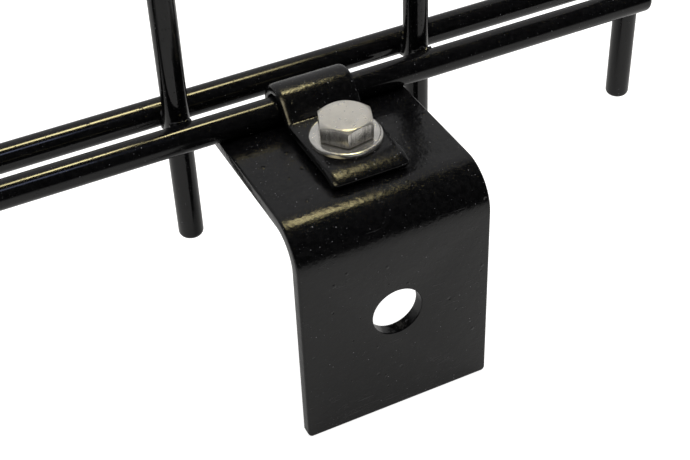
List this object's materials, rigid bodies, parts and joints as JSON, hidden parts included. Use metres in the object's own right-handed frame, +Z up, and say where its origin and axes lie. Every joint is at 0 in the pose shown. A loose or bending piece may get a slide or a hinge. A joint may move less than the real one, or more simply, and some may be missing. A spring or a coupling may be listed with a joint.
{
  "type": "window security grille",
  "caption": "Black double-rod mesh window grille whose twin rails hold round uprights with spiked ends, carried by clamp-on L-shaped wall brackets with hooked clamps and hex bolts.",
  "frame": {"origin": "centre of the four wall fixing holes, on the plane of the plates' wall faces", "axes": "+X along the rails to the right, +Y from the wall to the grille, +Z up"},
  "size_m": [0.317, 0.0486, 0.3058],
  "materials": {
    "grille_coat": "gloss black powder coat",
    "weld_coat": "gloss black powder coat over weld flash",
    "bracket_coat": "gloss black powder coat with orange peel",
    "clamp_coat": "gloss black powder coat",
    "bolt_steel": "satin stainless steel",
    "washer_steel": "satin stainless steel"
  },
  "bodies": {
    "grille": {"upright_1": "grille_coat", "upright_2": "grille_coat", "upright_3": "grille_coat", "upright_4": "grille_coat", "upright_5": "grille_coat", "upright_6": "grille_coat", "upright_7": "grille_coat", "lower_front_rail": "grille_coat", "lower_rear_rail": "grille_coat", "upper_front_rail": "grille_coat", "upper_rear_rail": "grille_coat", "cross_welds": "weld_coat"},
    "lower_left_bracket": {"lower_left_wall_bracket": "bracket_coat", "lower_left_nut_washer": "washer_steel", "lower_left_nut": "bolt_steel"},
    "lower_left_clamp": {"lower_left_hook_clamp": "clamp_coat", "lower_left_head_washer": "washer_steel"},
    "lower_left_screw": {"lower_left_bolt": "bolt_steel"},
    "lower_right_bracket": {"lower_right_wall_bracket": "bracket_coat", "lower_right_nut_washer": "washer_steel", "lower_right_nut": "bolt_steel"},
    "lower_right_clamp": {"lower_right_hook_clamp": "clamp_coat", "lower_right_head_washer": "washer_steel"},
    "lower_right_screw": {"lower_right_bolt": "bolt_steel"},
    "upper_left_bracket": {"upper_left_wall_bracket": "bracket_coat", "upper_left_nut_washer": "washer_steel", "upper_left_nut": "bolt_steel"},
    "upper_left_clamp": {"upper_left_hook_clamp": "clamp_coat", "upper_left_head_washer": "washer_steel"},
    "upper_left_screw": {"upper_left_bolt": "bolt_steel"},
    "upper_right_bracket": {"upper_right_wall_bracket": "bracket_coat", "upper_right_nut_washer": "washer_steel", "upper_right_nut": "bolt_steel"},
    "upper_right_clamp": {"upper_right_hook_clamp": "clamp_coat", "upper_right_head_washer": "washer_steel"},
    "upper_right_screw": {"upper_right_bolt": "bolt_steel"}
  },
  "joints": [
    {"name": "lower_left_swing", "type": "hinge", "parent": "grille", "child": "lower_left_bracket", "pos_m": [-0.078, 0.035, -0.1], "axis": [1, 0, 0], "range_deg": [-120, 120]},
    {"name": "lower_left_clamp_lift", "type": "slide", "parent": "lower_left_bracket", "child": "lower_left_clamp", "axis": [0, 0, 1], "range_m": [0, 0.002]},
    {"name": "lower_left_bolt_turn", "type": "hinge", "parent": "lower_left_clamp", "child": "lower_left_screw", "pos_m": [-0.078, 0.02, -0.1], "axis": [0, 0, 1], "range_deg": [0, 720]},
    {"name": "lower_right_swing", "type": "hinge", "parent": "grille", "child": "lower_right_bracket", "pos_m": [0.078, 0.035, -0.1], "axis": [1, 0, 0], "range_deg": [-120, 120]},
    {"name": "lower_right_clamp_lift", "type": "slide", "parent": "lower_right_bracket", "child": "lower_right_clamp", "axis": [0, 0, 1], "range_m": [0, 0.002]},
    {"name": "lower_right_bolt_turn", "type": "hinge", "parent": "lower_right_clamp", "child": "lower_right_screw", "pos_m": [0.078, 0.02, -0.1], "axis": [0, 0, 1], "range_deg": [0, 720]},
    {"name": "upper_left_swing", "type": "hinge", "parent": "grille", "child": "upper_left_bracket", "pos_m": [-0.078, 0.035, 0.1], "axis": [-1, 0, 0], "range_deg": [-120, 120]},
    {"name": "upper_left_clamp_lift", "type": "slide", "parent": "upper_left_bracket", "child": "upper_left_clamp", "axis": [0, 0, -1], "range_m": [0, 0.002]},
    {"name": "upper_left_bolt_turn", "type": "hinge", "parent": "upper_left_clamp", "child": "upper_left_screw", "pos_m": [-0.078, 0.02, 0.1], "axis": [0, 0, -1], "range_deg": [0, 720]},
    {"name": "upper_right_swing", "type": "hinge", "parent": "grille", "child": "upper_right_bracket", "pos_m": [0.078, 0.035, 0.1], "axis": [-1, 0, 0], "range_deg": [-120, 120]},
    {"name": "upper_right_clamp_lift", "type": "slide", "parent": "upper_right_bracket", "child": "upper_right_clamp", "axis": [0, 0, -1], "range_m": [0, 0.002]},
    {"name": "upper_right_bolt_turn", "type": "hinge", "parent": "upper_right_clamp", "child": "upper_right_screw", "pos_m": [0.078, 0.02, 0.1], "axis": [0, 0, -1], "range_deg": [0, 720]}
  ],
  "couplings": [
    {"joint": "lower_left_bolt_turn", "follows": "lower_left_clamp_lift", "rad_per_m": 6283.2},
    {"joint": "lower_right_bolt_turn", "follows": "lower_right_clamp_lift", "rad_per_m": 6283.2},
    {"joint": "upper_left_bolt_turn", "follows": "upper_left_clamp_lift", "rad_per_m": 6283.2},
    {"joint": "upper_right_bolt_turn", "follows": "upper_right_clamp_lift", "rad_per_m": 6283.2}
  ]
}
